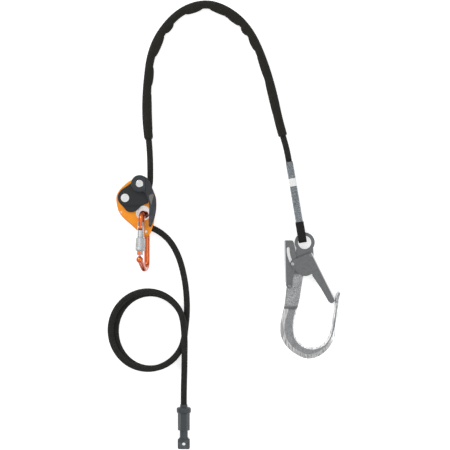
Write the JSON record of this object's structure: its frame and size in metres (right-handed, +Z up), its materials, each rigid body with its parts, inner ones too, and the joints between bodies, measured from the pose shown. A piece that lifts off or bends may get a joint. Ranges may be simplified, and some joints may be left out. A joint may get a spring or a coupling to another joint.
{
  "type": "rope grab lanyard",
  "caption": "Rope grab on a braided rope with a screw-gate carabiner, sleeved end with a sewn eye and large scaffold hook, and a coiled tail with a moulded end stop.",
  "frame": {"origin": "on the surface it lies on, under the middle of the box round the rope grab, its carabiner and the hook", "axes": "+Z up from the surface, +Y from the end stop towards the bend of the sleeved rope, +X from the rope grab to the hook"},
  "size_m": [0.4218, 0.8093, 0.0597],
  "materials": {
    "plate": "orange anodised",
    "bush": "turned",
    "arm": "black, satin",
    "handle": "moulded, satin",
    "insert": "moulded, grained",
    "rivet": "polished",
    "carabiner": "orange anodised, glossy",
    "gate": "bright",
    "lock": "bead blasted",
    "hook": "forged, polished rims",
    "hook_plate": "matt grey zinc",
    "spring": "drawn wire",
    "rope": "braided",
    "sleeve": "woven tube",
    "shrink": "clear",
    "label": "printed film",
    "end_stop": "moulded"
  },
  "bodies": {
    "grab_frame": {"rear_plate": "plate", "front_plate": "plate", "eye_bush": "bush", "wear_ring": "bush", "pivot_rivet": "rivet", "plate_rivets": "rivet", "plate_spacers": "bush", "rope_to_hook": "rope", "rope_to_coil": "rope", "rope_to_end_stop": "rope", "rope_coil": "rope", "protective_sleeve": "sleeve", "splice_core": "rope", "shrink_tube": "shrink", "splice_label": "label", "eye_loop": "rope", "end_stop": "end_stop"},
    "brake_arm": {"front_arm": "arm", "rear_arm": "arm", "cam": "bush", "cam_pin": "rivet", "friction_bobbin": "bush", "hub_axle": "rivet"},
    "handle": {"release_handle": "handle", "handle_insert": "insert", "handle_spring": "spring"},
    "carabiner": {"carabiner_body": "carabiner", "gate_pin": "rivet"},
    "carabiner_gate": {"carabiner_gate": "gate", "gate_plunger": "rivet", "gate_spring": "spring"},
    "lock_sleeve": {"lock_sleeve": "lock"},
    "hook": {"hook_body": "hook", "gate_pivot_rivet": "rivet", "lever_rivet": "rivet", "hook_gate_spring": "spring", "lever_spring": "spring"},
    "hook_gate": {"hook_gate": "hook_plate", "gate_drive_pin": "rivet"},
    "safety_lever": {"safety_lever": "hook_plate"}
  },
  "joints": [
    {"name": "brake_arm_pivot", "type": "hinge", "parent": "grab_frame", "child": "brake_arm", "pos_m": [-0.1858, 0.124, 0.02], "axis": [0, 0, -1], "range_deg": [0, 6]},
    {"name": "handle_pull", "type": "hinge", "parent": "brake_arm", "child": "handle", "pos_m": [-0.1595, 0.1494, 0.04], "axis": [0, 0, 1], "range_deg": [0, 75], "stiffness_Nm_per_rad": 0.05, "springref_deg": -11.46},
    {"name": "carabiner_swing", "type": "hinge", "parent": "grab_frame", "child": "carabiner", "pos_m": [-0.15135, 0.0964, 0.02], "axis": [0, 0, 1], "range_deg": [-30, 8]},
    {"name": "carabiner_gate_swing", "type": "hinge", "parent": "carabiner", "child": "carabiner_gate", "pos_m": [-0.15697, 0.0711, 0.04509], "axis": [0.9763, 0, 0.2164], "range_deg": [0, 25], "stiffness_Nm_per_rad": 0.05, "springref_deg": -28.65},
    {"name": "lock_sleeve_travel", "type": "slide", "parent": "carabiner_gate", "child": "lock_sleeve", "axis": [-0.032, -0.989, 0.1443], "range_m": [0, 0.0075]},
    {"name": "hook_swivel", "type": "hinge", "parent": "grab_frame", "child": "hook", "pos_m": [0.1361, 0.0443, 0.012], "axis": [0, 0, 1], "range_deg": [-35, 60]},
    {"name": "hook_gate_swing", "type": "hinge", "parent": "hook", "child": "hook_gate", "pos_m": [0.1465, 0.0209, 0.012], "axis": [0, 0, -1], "range_deg": [0, 36], "stiffness_Nm_per_rad": 0.1, "springref_deg": -28.65},
    {"name": "safety_lever_press", "type": "hinge", "parent": "hook", "child": "safety_lever", "pos_m": [0.1089, -0.0344, 0.012], "axis": [0, 0, -1], "range_deg": [0, 4.32], "deforming": ["lever_spring"]}
  ],
  "couplings": [
    {"joint": "brake_arm_pivot", "follows": "handle_pull", "ratio": 0.08},
    {"joint": "safety_lever_press", "follows": "hook_gate_swing", "ratio": 0.12}
  ]
}
